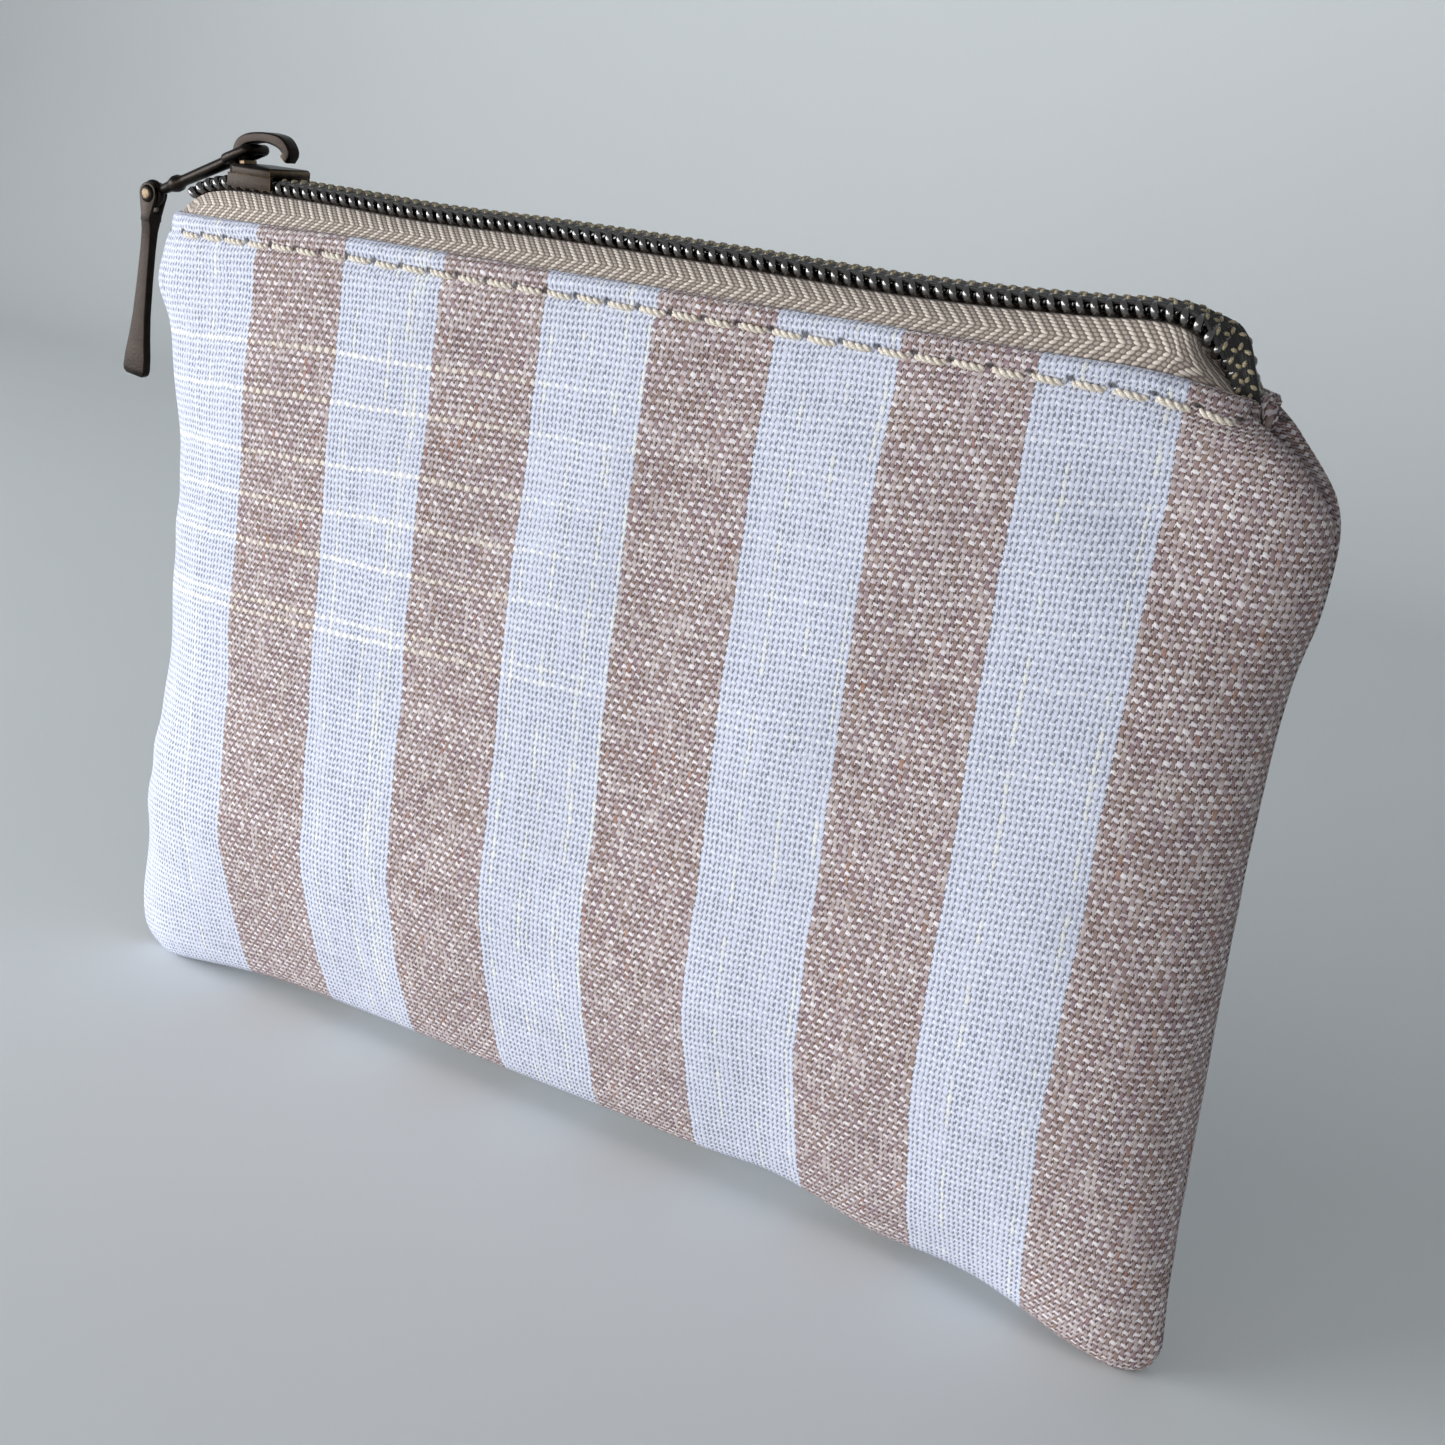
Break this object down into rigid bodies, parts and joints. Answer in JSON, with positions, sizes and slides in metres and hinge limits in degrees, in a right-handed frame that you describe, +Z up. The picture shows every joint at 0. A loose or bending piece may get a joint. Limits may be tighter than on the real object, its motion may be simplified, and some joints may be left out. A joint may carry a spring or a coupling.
{
  "type": "zippered pouch",
  "caption": "Small lined linen-look pouch with vertical stripes, a topstitched mouth and a metallic coil zip with a hanging bar puller.",
  "frame": {"origin": "middle of the narrow base that the pouch stands on, midway between its side seams", "axes": "+X along the zip from its closed end to its open end, +Y from front to back, +Z up"},
  "size_m": [0.1407, 0.0194, 0.0994],
  "materials": {
    "outer_linen": "plain-weave stripe",
    "interfacing_fleece": "matt fleece",
    "lining_cotton": "matt cotton",
    "zip_tape_twill": "herringbone",
    "coil_gunmetal": "dark metallic",
    "coil_thread": "polyester thread",
    "sewing_thread": "cotton thread",
    "antique_brass": "antiqued, worn"
  },
  "bodies": {
    "root": {"back_panel": "outer_linen", "back_interfacing": "interfacing_fleece", "back_lining": "lining_cotton", "back_zip_tape": "zip_tape_twill", "back_zip_coil": "coil_gunmetal", "back_coil_thread": "coil_thread", "back_topstitch": "sewing_thread", "side_seam_left": "outer_linen", "side_seam_right": "outer_linen", "bottom_seam": "outer_linen", "lining_closing_stitch": "sewing_thread", "zip_tack_left": "coil_thread", "zip_tack_right": "coil_thread"},
    "front": {"front_panel": "outer_linen", "front_interfacing": "interfacing_fleece", "front_lining": "lining_cotton", "front_zip_tape": "zip_tape_twill", "front_zip_coil": "coil_gunmetal", "front_coil_thread": "coil_thread", "front_topstitch": "sewing_thread"},
    "slider": {"slider_body": "antique_brass", "slider_crown": "antique_brass"},
    "pull_link": {"pull_link": "antique_brass"},
    "pull_bar": {"pull_bar": "antique_brass", "pull_rivet": "antique_brass"}
  },
  "joints": [
    {"name": "slider_travel", "type": "slide", "parent": "root", "child": "slider", "axis": [1, 0, 0], "range_m": [0, 0.096]},
    {"name": "mouth_open", "type": "hinge", "parent": "root", "child": "front", "pos_m": [0, 0, 0], "axis": [1, 0, 0], "range_deg": [0, 11.1], "deforming": ["back_panel", "back_interfacing", "back_lining", "back_zip_tape", "back_zip_coil", "back_coil_thread", "back_topstitch", "side_seam_left", "side_seam_right", "zip_tack_left", "zip_tack_right", "front_panel", "front_interfacing", "front_lining", "front_zip_tape", "front_zip_coil", "front_coil_thread", "front_topstitch"]},
    {"name": "pull_link_swing", "type": "hinge", "parent": "slider", "child": "pull_link", "pos_m": [-0.0555, 0, 0.0974], "axis": [0, 1, 0], "range_deg": [0, 150]},
    {"name": "pull_bar_swing", "type": "hinge", "parent": "pull_link", "child": "pull_bar", "pos_m": [-0.07119, 0, 0.091], "axis": [0, 1, 0], "range_deg": [0, 120]}
  ],
  "couplings": [
    {"joint": "mouth_open", "follows": "slider_travel", "rad_per_m": 2}
  ]
}
